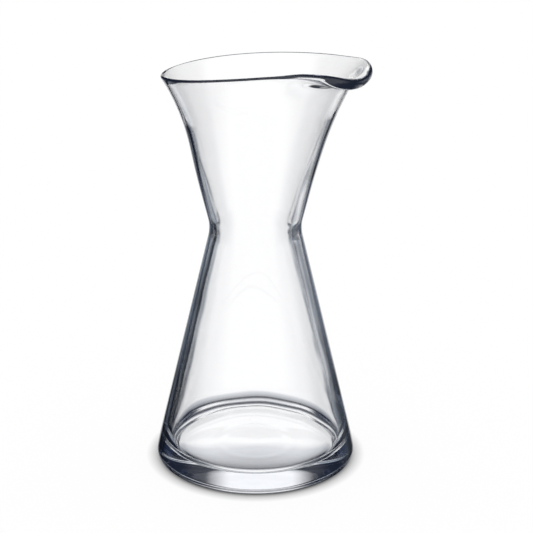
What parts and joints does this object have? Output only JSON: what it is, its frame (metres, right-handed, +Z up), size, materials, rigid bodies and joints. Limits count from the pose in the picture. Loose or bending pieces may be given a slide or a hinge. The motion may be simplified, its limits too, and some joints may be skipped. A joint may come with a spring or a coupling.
{
  "type": "carafe",
  "caption": "Small clear glass wine carafe with an hourglass body: thick round foot, conical lower body, narrow waist, flared mouth and a pulled pouring lip.",
  "frame": {"origin": "on the table, under the middle of the outline with the pouring lip included; the foot's centre lies 2.3 mm from it towards -X", "axes": "+Z up along the carafe's axis, +X towards the pouring lip, +Y to the left of someone who looks along +X"},
  "size_m": [0.0838, 0.0792, 0.1602],
  "materials": {
    "clear_glass": "clear, fire-polished, with a faint cool cast"
  },
  "bodies": {
    "root": {"glass_carafe": "clear_glass"}
  },
  "joints": []
}
